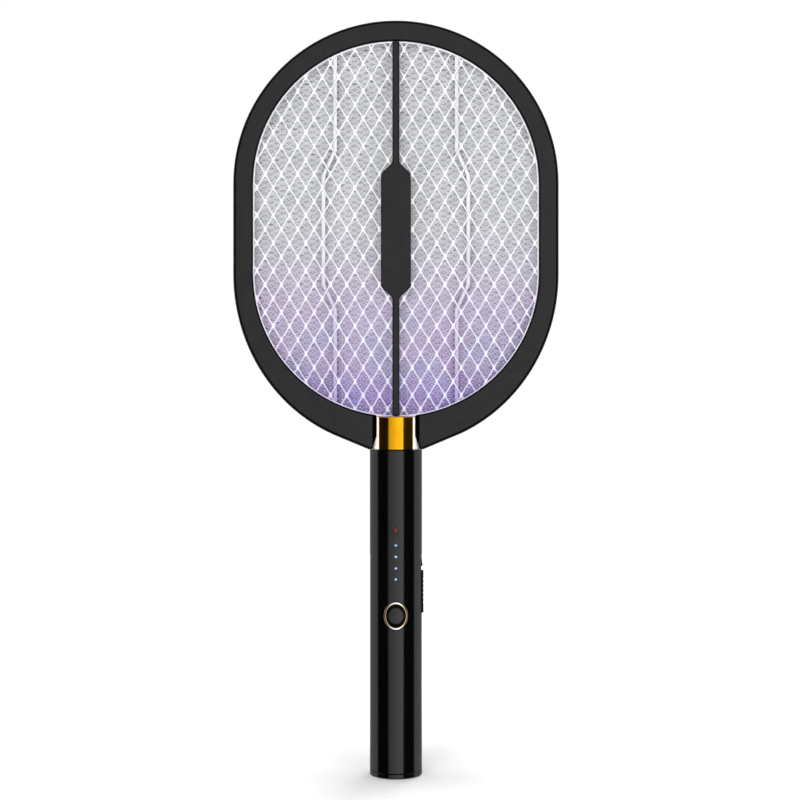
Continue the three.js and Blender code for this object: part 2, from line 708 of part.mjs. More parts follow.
// ---- Inside the handle ----
function addChassis() {
  const low = 13.2;
  const wallThickness = 1.5;
  const channel = without(
    solid(rodZ(CHASSIS_R, low, BOARD_TOP)),
    rodZ(CHASSIS_BORE_R, low - 1, BOARD_TOP + 1),
  );
  const wallLows = [CELL_LOW - 3.3, CELL_TOP + 2]; // clear of the cell's tabs
  const walls = [
    rodZ(CHASSIS_BORE_R + 0.65, low, low + 2),
    ...wallLows.map((z) => rodZ(CHASSIS_BORE_R + 0.65, z, z + wallThickness)),
  ];
  const rails = [
    block([-12.2, -9.6], [BOARD_BACK + GAP, -4.8], [low, BOARD_TOP]),
    block([9.6, 12.2], [BOARD_BACK + GAP, -4.8], [low, BOARD_TOP]),
  ];
  const front = block([-20, 20], [-20, BOARD_BACK + GAP], [low + 2, BOARD_TOP + 1]);
  const chassis = without(
    channel.add(joined(...walls, ...rails)),
    front,
    rodZ(SCREW_HOLE_R, 0, 18, 0, CAP_SCREW_Y, 12),
    block([-8, 8], [USB_Y, 12], [low - 1, 17]),
    block([5, 20], [-20, 8], [100.6, 141]),
  );
  addPiece('chassis', chassis, INNER_PLASTIC);
}

function addBoard() {
  const board = block([-11.4, 11.4], [BOARD_FRONT, BOARD_BACK], [BOARD_LOW, BOARD_TOP]);
  addPiece('main_board', board, BOARD_GREEN);
  const chip = block([-2.5, 2.5], [BOARD_FRONT - GAP - 1.5, BOARD_FRONT - GAP], [66, 71]);
  addPiece('control_chip', chip, COMPONENT_BLACK);
}

function addCell() {
  const cell = joined(
    rodZ(CELL_R, CELL_LOW, CELL_TOP, 0, CELL_Y, 24),
    rodZ(3.2, CELL_TOP - 0.5, CELL_TOP + 0.7, 0, CELL_Y, 12),
  );
  addPiece('battery_cell', cell, CELL_WRAP);
  const tabY = [BOARD_BACK + GAP, CELL_Y + 4];
  addPiece('battery_tab_negative', block([-3, 3], tabY, [CELL_LOW - 1, CELL_LOW - 0.6]), NICKEL);
  addPiece('battery_tab_positive', block([-3, 3], tabY, [CELL_TOP + 1, CELL_TOP + 1.4]), NICKEL);
}

function addTransformer() {
  const [y, z] = [0.8, 99.5];
  const at = (x0, x1, y0, y1, z0, z1) => block([x0, x1], [y + y0, y + y1], [z + z0, z + z1]);
  const core = without(
    solid(at(-7.6, 7.6, -3, 3, -6.6, 6.6)),
    at(-5.2, -2.1, -4, 4, -4.6, 4.6),
    at(2.1, 5.2, -4, 4, -4.6, 4.6),
  );
  addPiece('transformer_core', core, FERRITE);
  const winding = without(
    solid(at(-4.9, 4.9, -5.6, 5.6, -4.2, 4.2)),
    at(-2.4, 2.4, -3.3, 3.3, -6, 6),
  );
  addPiece('transformer_winding', winding, COPPER);
}

// High-voltage parts stacked behind the board, above the transformer
function addPowerParts() {
  const capacitors = [[-9.4, 112], [-6, 129], [-6, 144]];
  capacitors.forEach(([x, z], i) => {
    const outline = racetrack(6, 3, 0);
    const can = column(outline, z, z + 12.5).translate(x + 6, BOARD_BACK + GAP + 3, 0);
    addPiece(`hv_capacitor_${i + 1}`, can, FILM_RED);
  });
  const y = BOARD_BACK + GAP + 1.4;
  addPiece('rectifier_diode_1', rodX(1.3, -7, -1.5, y, 160), COMPONENT_BLACK);
  addPiece('rectifier_diode_2', rodX(1.3, 1.5, 7, y, 160), COMPONENT_BLACK);
  addPiece('bleed_resistor', rodX(1.2, -7, -0.5, y, 109), RESISTOR_TAN);
}

addRingShells();
addRingScrews();
addNets();
addSpacers();
addBars();
addLamps();
addCollar();
addNeckScrews();
addLeads();
addTube();
addEndCap();
addChargeSocket();
addLights();
addButton();
addSideSwitch();
addChassis();
addBoard();
addCell();
addTransformer();
addPowerParts();

export default swatter;
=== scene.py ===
"""Electric fly swatter, standing on the flat end of its handle.

Metres, +Z up the handle, -Y is the front with the push button, +X has the side switch.
Shapes are drawn in millimetres and scaled by MM when they become meshes.
"""

import math

import bmesh
import bpy
from mathutils import Matrix, Vector


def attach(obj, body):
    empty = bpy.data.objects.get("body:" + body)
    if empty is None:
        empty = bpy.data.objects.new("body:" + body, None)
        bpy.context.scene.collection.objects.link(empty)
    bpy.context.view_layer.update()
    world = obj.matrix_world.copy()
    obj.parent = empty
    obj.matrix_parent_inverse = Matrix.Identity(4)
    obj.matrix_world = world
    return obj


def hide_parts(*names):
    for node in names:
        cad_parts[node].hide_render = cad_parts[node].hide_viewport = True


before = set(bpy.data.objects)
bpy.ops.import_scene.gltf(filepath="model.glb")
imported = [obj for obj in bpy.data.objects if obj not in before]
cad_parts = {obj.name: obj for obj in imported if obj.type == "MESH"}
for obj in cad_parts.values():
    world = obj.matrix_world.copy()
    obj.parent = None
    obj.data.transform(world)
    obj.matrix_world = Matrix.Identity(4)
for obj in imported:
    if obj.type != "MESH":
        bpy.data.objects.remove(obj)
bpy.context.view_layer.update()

MM = 0.001

# ---- Dimensions shared with the CAD, in millimetres ----
TUBE_R, BORE_R, TUBE_LOW, TUBE_TOP = 16.65, 14.65, 3.3, 207.4
COLLAR_R, COLLAR_BORE_R, COLLAR_LOW, COLLAR_TOP = 15.6, 14.1, 207.7, 228.5
BRIDGE_HALF = 4.7
OPENING_R, OPENING_TOP, OPENING_LOW = 90.7, 376.3, 319.5
RIM_R, RIM_TOP, RIM_LOW, RIM_LOW_R = 103.4, 376.9, 319.2, 110.5
CHIN_HALF, CHIN_JOIN = 17.0, 37.6
HEAD_HALF, SPLIT, LIP, SEAT = 10.0, 0.15, 2.0, 3.3
MATING = 0.03  # The rims' halves all but meet, inside a small groove round the outside
NET_OUT, NET_IN = 7.7, 6.5
STUB_LOW, STUB_TOP, STUB_R, STUB_NECK_R, CHANNEL_R = 175.0, 228.2, 14.3, 13.7, 8.2
BUTTON_Z, BUTTON_X, BUTTON_H = 103.0, 6.0, 7.3
RING_X, RING_H = 6.925, 8.1
LEVEL_LIGHTS = (126.1, 133.0, 140.3, 147.5)
POWER_LIGHT = 156.9
BUTTON_HOLE, POWER_HOLE, LEVEL_HOLE_R = (7.85, 9.15), (1.7, 2.15), 1.05
NECK_SCREWS = (183.0, 197.0)
GAP = 0.15  # between the wings and the collar
SHANK_R, HEAD_R, SHANK_HOLE_R, HEAD_HOLE_R = 1.25, 2.5, 1.55, 2.8
CROSS_HALF, CROSS_WIDTH_HALF = 1.4, 0.28
AXIS_R = 0.02  # stands for zero where a lathed profile meets its axis


# ---- Materials ----
BROAD_TO_FINE = 12  # how many times larger the tone's noise is than the bump's
BUMP_DEPTH = 0.0002
LAMP_LIGHT_LOW, LAMP_LIGHT_TOP = 0.229, 0.36  # heights in metres between which the painted violet lamp light fades
PATCH_SCALE = 45


def paint(code):
    """A display colour such as '3a3a3c' as linear RGBA."""
    values = [int(code[i : i + 2], 16) / 255 for i in (0, 2, 4)]
    return [v / 12.92 if v < 0.04045 else ((v + 0.055) / 1.055) ** 2.4 for v in values] + [1]


def ramp_of(nodes, stops):
    """A colour ramp through (position, RGBA) stops."""
    ramp = nodes.new("ShaderNodeValToRGB")
    elements = ramp.color_ramp.elements
    elements[0].position, elements[0].color = stops[0]
    elements[1].position, elements[1].color = stops[-1]
    for position, colour in stops[1:-1]:
        elements.new(position).color = colour
    return ramp


def spread(nodes, links, value, low, high, to_low, to_high):
    """Maps value from low..high to to_low..to_high, clamped."""
    node = nodes.new("ShaderNodeMapRange")
    limits = {"From Min": low, "From Max": high, "To Min": to_low, "To Max": to_high}
    for name, number in limits.items():
        node.inputs[name].default_value = number
    links.new(value, node.inputs["Value"])
    return node.outputs["Result"]


def blended(nodes, links, mode, factor, a, b):
    """A colour mix; a, b and factor are sockets or constants."""
    node = nodes.new("ShaderNodeMix")
    node.data_type, node.blend_type = "RGBA", mode
    for socket, value in ((node.inputs[0], factor), (node.inputs[6], a), (node.inputs[7], b)):
        if isinstance(value, bpy.types.NodeSocket):
            links.new(value, socket)
        else:
            socket.default_value = value
    return node.outputs[2]


def parts_of(nodes, links, source):
    """The X, Y and Z of the surface's place, "Object", or of its direction, "Normal"."""
    split = nodes.new("ShaderNodeSeparateXYZ")
    links.new(nodes.new("ShaderNodeTexCoord").outputs[source], split.inputs[0])
    return split.outputs


def size_of(nodes, links, value):
    node = nodes.new("ShaderNodeMath")
    node.operation = "ABSOLUTE"
    links.new(value, node.inputs[0])
    return node.outputs[0]


def away_from(nodes, links, point):
    """How far the surface's place is from a point, in metres."""
    node = nodes.new("ShaderNodeVectorMath")
    node.operation = "DISTANCE"
    node.inputs[1].default_value = point
    links.new(nodes.new("ShaderNodeTexCoord").outputs["Object"], node.inputs[0])
    return node.outputs["Value"]


def tree_of(mat):
    """A material's nodes, links and main shader."""
    nodes, links = mat.node_tree.nodes, mat.node_tree.links
    return nodes, links, nodes["Principled BSDF"]


def source_of(shader, name):
    """What feeds one of the shader's sockets."""
    return shader.inputs[name].links[0].from_socket


def finish(
    name, dark, light, rough, metallic=0.0, grain=900.0, bump=0.02, shine=0.5, glow=0.0
):
    """A procedural finish: two close tones, a roughness range and a fine bump, all from noise."""
    mat = bpy.data.materials.new(name)
    mat.use_nodes = True
    nodes, links, shader = tree_of(mat)
    place = nodes.new("ShaderNodeTexCoord").outputs["Object"]
    broad = nodes.new("ShaderNodeTexNoise")
    broad.inputs["Scale"].default_value = grain / BROAD_TO_FINE
    fine = nodes.new("ShaderNodeTexNoise")
    fine.inputs["Scale"].default_value = grain
    fine.inputs["Detail"].default_value = 4
    links.new(place, broad.inputs["Vector"])
    links.new(place, fine.inputs["Vector"])
    tones = ramp_of(nodes, [(0.35, paint(dark)), (0.65, paint(light))])
    links.new(broad.outputs["Fac"], tones.inputs["Fac"])
    links.new(tones.outputs["Color"], shader.inputs["Base Color"])
    roughness = spread(nodes, links, broad.outputs["Fac"], 0.3, 0.7, *rough)
    links.new(roughness, shader.inputs["Roughness"])
    relief = nodes.new("ShaderNodeBump")
    relief.inputs["Strength"].default_value = bump
    relief.inputs["Distance"].default_value = BUMP_DEPTH
    links.new(fine.outputs["Fac"], relief.inputs["Height"])
    links.new(relief.outputs["Normal"], shader.inputs["Normal"])
    shader.inputs["Metallic"].default_value = metallic
    shader.inputs["Specular IOR Level"].default_value = shine
    if glow:
        links.new(tones.outputs["Color"], shader.inputs["Emission Color"])
        shader.inputs["Emission Strength"].default_value = glow
    return mat


def painted_violet_light(mat, strength, foot=1.0):
    """Paints the violet light of the lamps at the foot of the head into a material's colour, as
    painted light that fades upwards, in soft patches.

    Near the lamps the painted light's brightness is multiplied by foot.
    """
    nodes, links, shader = tree_of(mat)
    base = source_of(shader, "Base Color")
    place = parts_of(nodes, links, "Object")
    height = spread(nodes, links, place["Z"], LAMP_LIGHT_LOW, LAMP_LIGHT_TOP, 0, 1)
    stops = [
        (0.0, (0.78, 0.63, 1.0), foot),
        (0.08, (0.68, 0.54, 1.0), foot),
        (0.25, (0.82, 0.72, 0.98), foot),
        (0.57, (0.93, 0.83, 1.0), (1 + foot) / 2),
        (0.95, (1, 1, 1), 1),
    ]
    lamp_light = ramp_of(nodes, [(at, [c * level for c in colour] + [1]) for at, colour, level in stops])
    links.new(height, lamp_light.inputs["Fac"])
    # The blue and pink patches near the foot are painted lamp light too.
    patches = nodes.new("ShaderNodeTexNoise")
    patches.inputs["Scale"].default_value = PATCH_SCALE
    links.new(nodes.new("ShaderNodeTexCoord").outputs["Object"], patches.inputs["Vector"])
    blue, white, pink = (0.74, 0.86, 1.0, 1), (1, 1, 1, 1), (1.0, 0.76, 0.94, 1)
    light_patches = ramp_of(nodes, [(0.38, blue), (0.5, white), (0.62, pink)])
    links.new(patches.outputs["Fac"], light_patches.inputs["Fac"])
    reach = spread(nodes, links, place["Z"], 0.24, 0.33, 0.5, 0)
    lamp_lit = blended(nodes, links, "MULTIPLY", strength, base, lamp_light.outputs["Color"])
    patched = blended(nodes, links, "MULTIPLY", reach, lamp_lit, light_patches.outputs["Color"])
    links.new(patched, shader.inputs["Base Color"])
    return mat


FINISHES = {
    "charcoal_shell": finish(
        "charcoal", "161618", "1a1a1b", (0.2, 0.26), grain=1800, bump=0.03, shine=0.26
    ),
    "gloss_black": finish("gloss black", "030304", "050506", (0.09, 0.14), bump=0.004, shine=0.56),
    "gilt": finish("champagne gilt", "ffe2b8", "fff0d8", (0.1, 0.17), 1.0, bump=0.01),
    "net_steel": finish("net", "e9eaee", "f7f7fa", (0.3, 0.42), 0.25),
    "spacer_white": finish("milky white", "eeeef4", "f8f8fc", (0.35, 0.45)),
    "steel": finish("zinc", "9a9da2", "b4b7bc", (0.25, 0.4), 1.0, bump=0.05),
    "board": finish("solder mask", "123d25", "1d5a38", (0.35, 0.5)),
    "component_black": finish("epoxy", "111214", "1b1c1f", (0.45, 0.6)),
    "inner_plastic": finish("grey moulding", "363a3f", "42474d", (0.5, 0.62)),
    "ferrite": finish("ferrite", "242527", "303134", (0.65, 0.8), bump=0.2),
    "copper": finish("enamelled copper", "8f4a1f", "b9682f", (0.3, 0.42), 0.8),
    "film_red": finish("dipped film", "9d3a22", "b74a2d", (0.3, 0.45)),
    "cell_wrap": finish("shrink wrap", "275f9a", "3475b8", (0.3, 0.42)),
    "nickel": finish("nickel", "bcbdb6", "cfd0ca", (0.3, 0.4), 1.0),
    "violet_lens": finish("violet lens", "7f6fd8", "9a8bea", (0.1, 0.18), glow=0.6),
    "red_lens": finish("red lens", "561318", "62191e", (0.3, 0.4), glow=0.1),
    "ice_lens": finish("ice lens", "8fa8c4", "b0c4d8", (0.2, 0.3), glow=0.2),
    "wire_red": finish("red sleeve", "b32520", "c93029", (0.42, 0.55)),
    "wire_black": finish("black sleeve", "151517", "1d1d20", (0.42, 0.55)),
    "wire_white": finish("white sleeve", "dcdcd8", "ececea", (0.42, 0.55)),
    "resistor_tan": finish("resistor body", "bda377", "d3ba8e", (0.5, 0.65)),
}
# The nets, the grid and the spacer ribs carry painted violet lamp light near the foot of the head.
FRONT_NET = painted_violet_light(finish("front net", "eeeff2", "fafafc", (0.3, 0.42), 0.15), 0.45)
REAR_NET = painted_violet_light(finish("rear net", "cfd0d4", "dddee2", (0.3, 0.42), 0.15), 0.8)
INNER_GRID = painted_violet_light(
    finish("inner grid", "c4c5c8", "cecfd2", (0.4, 0.5), 0.15, shine=0.3), 1.0
)
SWITCH_BLACK = finish("switch black", "08080a", "0c0c0e", (0.34, 0.44), bump=0.04, shine=0.2)
SPACER = painted_violet_light(finish("spacer", "cbccd0", "d5d6d9", (0.4, 0.5)), 0.9, 0.78)


def collar_finish():
    """Polished gilt with a painted highlight: a cream line down each side, next to the wings,
    stands in for a reflection.
    """
    mat = finish("gilt", "f7ae14", "ffbc20", (0.09, 0.15), 1.0, bump=0.01)
    nodes, links, shader = tree_of(mat)
    base = source_of(shader, "Base Color")
    # Painted highlight: the cream line at the collar's sides is a reflection put into the colour.
    to_side = size_of(nodes, links, parts_of(nodes, links, "Object")["X"])
    line = spread(nodes, links, to_side, 0.0107, 0.0109, 0, 1)
    painted_highlight = blended(nodes, links, "MIX", line, base, paint("fff8ec"))
    links.new(painted_highlight, shader.inputs["Base Color"])
    links.new(spread(nodes, links, line, 0, 1, 1, 0), shader.inputs["Metallic"])
    return mat


def painted_edge_shade():
    """Charcoal with painted shade on its rounded edges, which face neither forwards nor sideways:
    they are painted black.
    """
    mat = FINISHES["charcoal_shell"].copy()
    nodes, links = tree_of(mat)[:2]
    facing = size_of(nodes, links, parts_of(nodes, links, "Normal")["Y"])
    not_front = spread(nodes, links, facing, 0.90, 0.97, 1, 0)
    not_wall = spread(nodes, links, facing, 0.12, 0.3, 0, 1)
    paint_shade(mat, not_front, not_wall)
    return mat


def paint_shade(mat, *masks):
    """Paints shade: turns a material polished and black where both masks are 1."""
    nodes, links, shader = tree_of(mat)
    both = nodes.new("ShaderNodeMath")
    both.operation = "MULTIPLY"
    for socket, mask in zip(both.inputs, masks):
        links.new(mask, socket)
    for name, value in (("Base Color", paint("020202")), ("Roughness", (0.1, 0.1, 0.1, 1))):
        before = source_of(shader, name)
        links.new(blended(nodes, links, "MIX", both.outputs[0], before, value), shader.inputs[name])


def shell_finish():
    """Charcoal with painted shade on its edges, and painted shade in the groove beside the collar,
    which is made polished and black.
    """
    mat = painted_edge_shade()
    nodes, links = tree_of(mat)[:2]
    place = parts_of(nodes, links, "Object")
    # Painted shade: black in the groove beside the collar, below the collar's top.
    below = spread(nodes, links, place["Z"], 0.2288, 0.2291, 1, 0)
    beside = spread(nodes, links, size_of(nodes, links, place["X"]), 0.0149, 0.0152, 1, 0)
    paint_shade(mat, below, beside)
    return mat


# ---- Making pieces ----
def mesh_object(name, points, faces):
    """A mesh from points in millimetres, its normals made consistent."""
    mesh = bpy.data.meshes.new(name)
    mesh.from_pydata([[c * MM for c in p] for p in points], [], faces)
    obj = bpy.data.objects.new(name, mesh)
    bpy.context.scene.collection.objects.link(obj)
    tidy(obj)
    return obj


def tidy(obj):
    """Welds doubles and turns all faces outwards."""
    work = bmesh.new()
    work.from_mesh(obj.data)
    bmesh.ops.remove_doubles(work, verts=work.verts, dist=1e-7)
    bmesh.ops.recalc_face_normals(work, faces=work.faces)
    work.to_mesh(obj.data)
    work.free()


def settle(obj):
    """Turns an object's modifiers into its mesh."""
    graph = bpy.context.evaluated_depsgraph_get()
    mesh = bpy.data.meshes.new_from_object(obj.evaluated_get(graph))
    obj.modifiers.clear()
    obj.data = mesh
    return obj


def combine(obj, mode, *others):
    """Adds, cuts or intersects obj with each of the others, which are used up."""
    for other in others:
        step = obj.modifiers.new("step", "BOOLEAN")
        step.operation, step.object, step.solver = mode, other, "EXACT"
        settle(obj)
        bpy.data.objects.remove(other)
    return obj


def cut(obj, *others):
    return combine(obj, "DIFFERENCE", *others)


def rounded(obj, width, segments=2, angle=30):
    """Rounds the edges sharper than angle."""
    bevel = obj.modifiers.new("round", "BEVEL")
    bevel.width, bevel.segments = width * MM, segments
    bevel.limit_method, bevel.angle_limit = "ANGLE", math.radians(angle)
    return settle(obj)


FLAT, ON_WALL, SQUARE_ON = 0.02, 0.03, 0.97  # how near a face is to a wall round Z


def shaded(obj, angle=32, axis_radii=()):
    """Smooth shading with crisp corners; walls round Z at axis_radii get exact round normals."""
    mesh = obj.data
    mesh.shade_smooth()
    mesh.set_sharp_from_angle(angle=math.radians(angle))
    weigh = obj.modifiers.new("weigh", "WEIGHTED_NORMAL")
    weigh.keep_sharp = True
    settle(obj)
    if not axis_radii:
        return obj
    mesh = obj.data
    normals = [Vector(c.vector) for c in mesh.corner_normals]
    for face in mesh.polygons:
        if abs(face.normal.z) > FLAT:
            continue
        for loop in face.loop_indices:
            at = mesh.vertices[mesh.loops[loop].vertex_index].co
            away = Vector((at.x, at.y, 0))
            if min(abs(away.length / MM - r) for r in axis_radii) < ON_WALL:
                away.normalize()
                side = away.dot(face.normal)
                if abs(side) > SQUARE_ON:
                    normals[loop] = away if side > 0 else -away
    mesh.normals_split_custom_set(normals)
    return obj


def piece(obj, nodes, slot, mat=None, body="handle"):
    """Puts a finished object in place of the CAD nodes that it stands for."""
    obj.data.materials.clear()
    obj.data.materials.append(mat or FINISHES[slot])
    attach(obj, body)
    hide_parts(*([nodes] if isinstance(nodes, str) else nodes))
    return obj


# ---- Basic shapes ----
def lofted(name, loops, closed=False):
    """Joins equal loops of points in turn.

    If closed, the last loop meets the first; otherwise both ends are capped.
    """
    count = len(loops[0])
    faces = []
    for i in range(len(loops) if closed else len(loops) - 1):
        a, b = i * count, (i + 1) % len(loops) * count
        faces += [(a + k, a + (k + 1) % count, b + (k + 1) % count, b + k) for k in range(count)]
    if not closed:
        last = (len(loops) - 1) * count
        faces += [tuple(range(count)), tuple(last + k for k in range(count))]
    return mesh_object(name, [p for loop in loops for p in loop], faces)


def circle(r, steps):
    turn = 2 * math.pi / steps
    return [(r * math.cos(turn * k), r * math.sin(turn * k)) for k in range(steps)]


def rod(axis, r, low, high, across=(0, 0), steps=64):
    """A cylinder along 'x', 'y' or 'z'; across is its middle in the other two, in XYZ order."""
    place = "xyz".index(axis)
    loops = []
    for end in (low, high):
        ring = [[a + across[0], b + across[1]] for a, b in circle(r, steps)]
        loops.append([p[:place] + [end] + p[place:] for p in ring])
    return lofted("rod", loops)


def box(x, y, z):
    (x0, x1), (y0, y1) = x, y
    return lofted("box", [[(x0, y0, h), (x1, y0, h), (x1, y1, h), (x0, y1, h)] for h in z])


def slab(outline, y0, y1):
    """An outline in X and Z, given depth from y0 to y1."""
    return lofted("slab", [[(x, y, z) for x, z in outline] for y in (y0, y1)])


def column(outline, z0, z1):
    """An outline in X and Y, given height from z0 to z1."""
    return lofted("column", [[(x, y, z) for x, y in outline] for z in (z0, z1)])


def lathe(name, profile, steps=144):
    """Turns a closed profile of (radius, z) about the Z axis."""
    rings = [[(x, y, z) for x, y in circle(r, steps)] for r, z in profile]
    return lofted(name, rings, closed=True)


def ellipse(half_x, half_z, z, steps=96):
    turn = 2 * math.pi / steps
    return [(half_x * math.cos(turn * k), z + half_z * math.sin(turn * k)) for k in range(steps)]


def arc(centre, half_x, half_z, start, end, steps):
    """Points on an elliptical arc in X and Z, both ends included."""
    turns = [math.radians(start + (end - start) * k / steps) for k in range(steps + 1)]
    return [(half_x * math.cos(t), centre + half_z * math.sin(t)) for t in turns]


def opening_outline(offset, steps=72):
    r = OPENING_R + offset
    return arc(OPENING_TOP, r, r, 0, 180, steps) + arc(OPENING_LOW, r, r, 180, 360, steps)


def rim_outline(inset, steps=72):
    """The rim's outline, with as many points as the opening's."""
    r, low = RIM_R - inset, RIM_LOW_R - inset
    turn = math.degrees(math.asin(CHIN_JOIN / RIM_R))
    side = (steps - 2) // 2
    foot = COLLAR_LOW + inset
    return (
        arc(RIM_TOP, r, r, 0, 180, steps)
        + arc(RIM_LOW, r, low, 180, 270 - turn, side)[: side + 1]
        + [(-CHIN_HALF, foot)]
        + [(CHIN_HALF, foot)]
        + arc(RIM_LOW, r, low, 270 + turn, 360, side)[1:]
    )


def quarter(r, steps=6):
    """How far in and how far forward a rounded edge has come, step by step."""
    turns = [math.pi / 2 * k / steps for k in range(steps + 1)]
    return [(r * (1 - math.cos(t)), r * math.sin(t)) for t in turns]


# ---- Head ----
MIDDLE = (OPENING_TOP + OPENING_LOW) / 2
SCREW_REACH = OPENING_R + 7.9
SCREW_SPOTS = [
    (
        SCREW_REACH * math.cos(math.radians(a)),
        (OPENING_TOP if a < 180 else OPENING_LOW) + SCREW_REACH * math.sin(math.radians(a)),
    )
    for a in (40, 140, 220, 320)
]
SCREW_SPOTS += [(SCREW_REACH, MIDDLE), (-SCREW_REACH, MIDDLE)]
LAMP_TURN = math.radians(17.5)


def half_shell(name):
    """The front shell, with rounded edges, the net's seat and the neck stub."""
    outer, inner = 2.5, 1.4
    loops = [(rim_outline(0.5), -MATING), (rim_outline(0), -2 * SPLIT)]
    loops += [(rim_outline(a), -HEAD_HALF + outer - b) for a, b in quarter(outer)]
    inner_round = [(inner - b, -HEAD_HALF + a) for a, b in quarter(inner)]
    loops += [(opening_outline(a), y) for a, y in inner_round]
    seat = [(0, -HEAD_HALF + LIP), (SEAT, -HEAD_HALF + LIP), (SEAT, -MATING)]
    loops += [(opening_outline(a), y) for a, y in seat]
    shell = lofted(name, [[(x, y, z) for x, z in line] for line, y in loops], closed=True)

    # The wings stop short of the collar, with a groove along that edge and a cut lower corner.
    groove = [(15.1, -10.01), (13.65, -9.3), (12.1, -10.01), (12.1, -11), (15.1, -11)]
    corner = [(12, 217.1), (15.7, 207), (12, 206)]
    cut(shell, rod("z", COLLAR_R + GAP, 200, 240, steps=144))
    for side in (1, -1):
        cut(shell, column([(side * x, y) for x, y in groove], 205, 235))
        cut(shell, slab([(side * x, z) for x, z in corner], -11, 1))

    web_low = COLLAR_LOW + 1.9
    stub = rod("z", STUB_R, STUB_LOW, TUBE_TOP - 0.3, steps=96)
    neck = rod("z", STUB_NECK_R, TUBE_TOP - 2, STUB_TOP, steps=96)
    web = box((-18, 18), (-BRIDGE_HALF, 0), (web_low, STUB_TOP))
    combine(stub, "UNION", neck, web)
    cut(stub, box((-40, 40), (-SPLIT, 40), (100, 300)))
    combine(shell, "UNION", stub)
    cut(shell, rod("z", CHANNEL_R, STUB_LOW - 1, STUB_TOP + 1, steps=64))
    for side in (1, -1):
        pocket = box((-11.6, 11.6), (-4.3, 4.3), (-104.2, -93))
        turn = Matrix.Rotation(-side * LAMP_TURN, 4, "Y")
        pocket.data.transform(Matrix.Translation((0, 0, OPENING_LOW * MM)) @ turn)
        cut(shell, pocket)
    return shell


def add_shells():
    front = half_shell("front_shell")
    rear = front.copy()
    rear.data = front.data.copy()
    rear.name = "rear_shell"
    bpy.context.scene.collection.objects.link(rear)
    rear.data.transform(Matrix.Rotation(math.pi, 4, "Z"))
    for x, z in SCREW_SPOTS:
        cut(front, rod("y", SHANK_HOLE_R, -6, 1, (x, z), 32))
        cut(
            rear,
            rod("y", HEAD_HOLE_R, 7.8, 11, (x, z), 48),
            rod("y", SHANK_HOLE_R, -1, 8.5, (x, z), 32),
        )
    for z in NECK_SCREWS:
        cut(rear, rod("y", SHANK_HOLE_R, CHANNEL_R - 1, STUB_R + 1, (0, z), 32))
    radii = (COLLAR_R + GAP, STUB_R, STUB_NECK_R, CHANNEL_R)
    mat = shell_finish()
    piece(shaded(front, axis_radii=radii), "front_ring_shell", "charcoal_shell", mat)
    piece(shaded(rear, axis_radii=radii), "rear_ring_shell", "charcoal_shell", mat)


def inside(x, z, reach):
    """Whether a point lies within reach of the opening's middle line."""
    nearest = min(max(z, OPENING_LOW), OPENING_TOP)
    return math.hypot(x, z - nearest) < reach


NET_HALF_X, NET_HALF_Z = 95, 125  # more than half of the opening
NET_MESH = {"pitch_x": 10.4, "pitch_z": 17.6, "strand": 0.98, "node": 0.15, "shoulder": 0.82}
GRID_MESH = {"pitch_x": 7.62, "pitch_z": 3.6, "strand": 2.62, "node": 0.15, "shoulder": 0.45}


def lattice(name, y, thick, pitch_x, pitch_z, strand, node, shoulder):
    """A diamond lattice of round-edged strands, cut to the opening.

    Strand is their width, node their spread where they cross, and shoulder how full they are.
    Each crossing is a diamond ring of strand, twelve points round and five levels deep.
    """
    a, b = pitch_x / 2, pitch_z / 2
    edge = math.hypot(a, b)
    hole_x = a - strand / 2 * edge / b
    hole_z = b - strand / 2 * edge / a
    count = 12
    half = thick / 2
    points, faces = [], []

    def ring(x, z, half_x, half_z, share):
        """Three points at each corner of a diamond: before it, on it and after it."""
        corners = [(half_x, 0), (0, half_z), (-half_x, 0), (0, -half_z)]
        out = []
        for i, (cx, cz) in enumerate(corners):
            px, pz = corners[i - 1]
            nx, nz = corners[(i + 1) % 4]
            pull = share if half_x < a else 0
            out.append((x + cx + (px - cx) * share, z + cz + (pz - cz) * share))
            out.append((x + cx * (1 - pull * 0.9), z + cz * (1 - pull * 0.9)))
            out.append((x + cx + (nx - cx) * share, z + cz + (nz - cz) * share))
        return out

    rows, columns = math.ceil(NET_HALF_Z / b), math.ceil(NET_HALF_X / pitch_x)
    for row in range(-rows, rows + 1):
        for i in range(-columns, columns + 1):
            x = (i + (0.5 if row % 2 == 0 else 0)) * pitch_x
            z = MIDDLE + row * b
            if not inside(x, z, OPENING_R + 3 + b):
                continue
            centre, hole = ring(x, z, a, b, node), ring(x, z, hole_x, hole_z, node)
            crest = [((2 * p + q) / 3, (2 * r + s) / 3) for (p, r), (q, s) in zip(centre, hole)]
            start = len(points)
            points += [(px, y - half, pz) for px, pz in centre]
            points += [(px, y - half * shoulder, pz) for px, pz in crest]
            points += [(px, y, pz) for px, pz in hole]
            points += [(px, y + half * shoulder, pz) for px, pz in crest]
            points += [(px, y + half, pz) for px, pz in centre]
            for level in range(4):
                low, high = start + count * level, start + count * (level + 1)
                for k in range(count):
                    after = (k + 1) % count
                    faces.append((low + k, low + after, high + after, high + k))
    obj = mesh_object(name, points, faces)
    trim(obj, OPENING_R + 1.5)
    obj.data.shade_smooth()
    return obj


def trim(obj, reach):
    """Cuts a flat piece to the opening's convex outline, at that reach, and closes the cut ends."""
    work = bmesh.new()
    work.from_mesh(obj.data)
    line = opening_outline(reach - OPENING_R, 24)
    for (x0, z0), (x1, z1) in zip(line, line[1:] + line[:1]):
        if math.hypot(x1 - x0, z1 - z0) < 1e-6:
            continue
        bmesh.ops.bisect_plane(
            work, geom=[*work.verts, *work.edges, *work.faces], dist=1e-9,
            plane_co=(x0 * MM, 0, z0 * MM), plane_no=(z1 - z0, 0, x0 - x1), clear_outer=True,
        )
    bmesh.ops.holes_fill(work, edges=[e for e in work.edges if e.is_boundary], sides=0)
    bmesh.ops.recalc_face_normals(work, faces=work.faces)
    work.to_mesh(obj.data)
    work.free()


